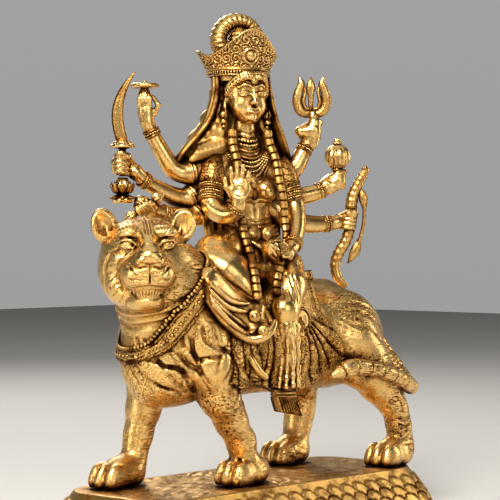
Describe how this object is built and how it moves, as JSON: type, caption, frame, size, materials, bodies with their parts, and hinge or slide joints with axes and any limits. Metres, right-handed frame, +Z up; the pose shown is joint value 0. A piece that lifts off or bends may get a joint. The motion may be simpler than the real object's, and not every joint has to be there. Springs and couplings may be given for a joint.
{
  "type": "hindu deity statue",
  "caption": "Cast brass statue: a many-armed goddess seated on a striding lion on a scalloped hollow plinth, with its discus, sword, trident and mace taken as loose pieces.",
  "frame": {"origin": "centre of the plinth's underside, on the surface the statue stands on", "axes": "+Z up, -X the way the lion faces, -Y the side the goddess faces (the front)"},
  "size_m": [0.4418, 0.1898, 0.516],
  "materials": {
    "polished_brass": "burnished, brown patina in the recesses",
    "lion_brass": "satin, chased fur lines, light patina",
    "textured_brass": "rough cast top, chased scallops",
    "antiqued_brass": "fine engraving with dark patina",
    "plain_brass": "machined"
  },
  "bodies": {
    "statue": {"base_plinth": "textured_brass", "paw_bolts": "plain_brass", "lion_body": "lion_brass", "lion_head": "lion_brass", "lion_collar": "antiqued_brass", "lion_foreleg_left": "lion_brass", "lion_foreleg_right": "lion_brass", "lion_hindleg_left": "lion_brass", "lion_hindleg_right": "lion_brass", "lion_tail": "lion_brass", "saddle_cloth": "antiqued_brass", "saddle_medallion": "polished_brass", "seat_spigot": "plain_brass", "goddess_torso": "polished_brass", "goddess_head": "polished_brass", "crown_cap": "polished_brass", "crown_plate": "polished_brass", "crown_arch": "polished_brass", "veil": "antiqued_brass", "earrings": "polished_brass", "necklaces": "polished_brass", "garlands": "antiqued_brass", "waist_belt": "polished_brass", "right_leg": "polished_brass", "left_leg": "polished_brass", "skirt_pleats": "antiqued_brass", "hem_tassel": "antiqued_brass", "arm_blessing": "polished_brass", "arm_lap": "polished_brass", "arm_chakra": "polished_brass", "arm_sword": "polished_brass", "arm_vajra": "polished_brass", "arm_trident": "polished_brass", "arm_mace": "polished_brass", "arm_bow": "polished_brass", "lotus_bud": "polished_brass", "sword_pommel": "polished_brass", "vajra": "polished_brass", "bow": "polished_brass", "arrow": "polished_brass"},
    "discus": {"chakra": "polished_brass"},
    "sword_piece": {"sword": "polished_brass"},
    "trident_piece": {"trident": "polished_brass"},
    "mace_piece": {"mace": "polished_brass"}
  },
  "joints": [
    {"name": "chakra_spin", "type": "hinge", "parent": "statue", "child": "discus", "pos_m": [-0.091, 0.056, 0.438], "axis": [0, 0, 1], "continuous": true},
    {"name": "sword_lift", "type": "slide", "parent": "statue", "child": "sword_piece", "axis": [0, 0, 1], "range_m": [0, 0.035]},
    {"name": "trident_lift", "type": "slide", "parent": "statue", "child": "trident_piece", "axis": [0, 0, 1], "range_m": [0, 0.03]},
    {"name": "mace_lift", "type": "slide", "parent": "statue", "child": "mace_piece", "axis": [0, 0, 1], "range_m": [0, 0.025]}
  ]
}
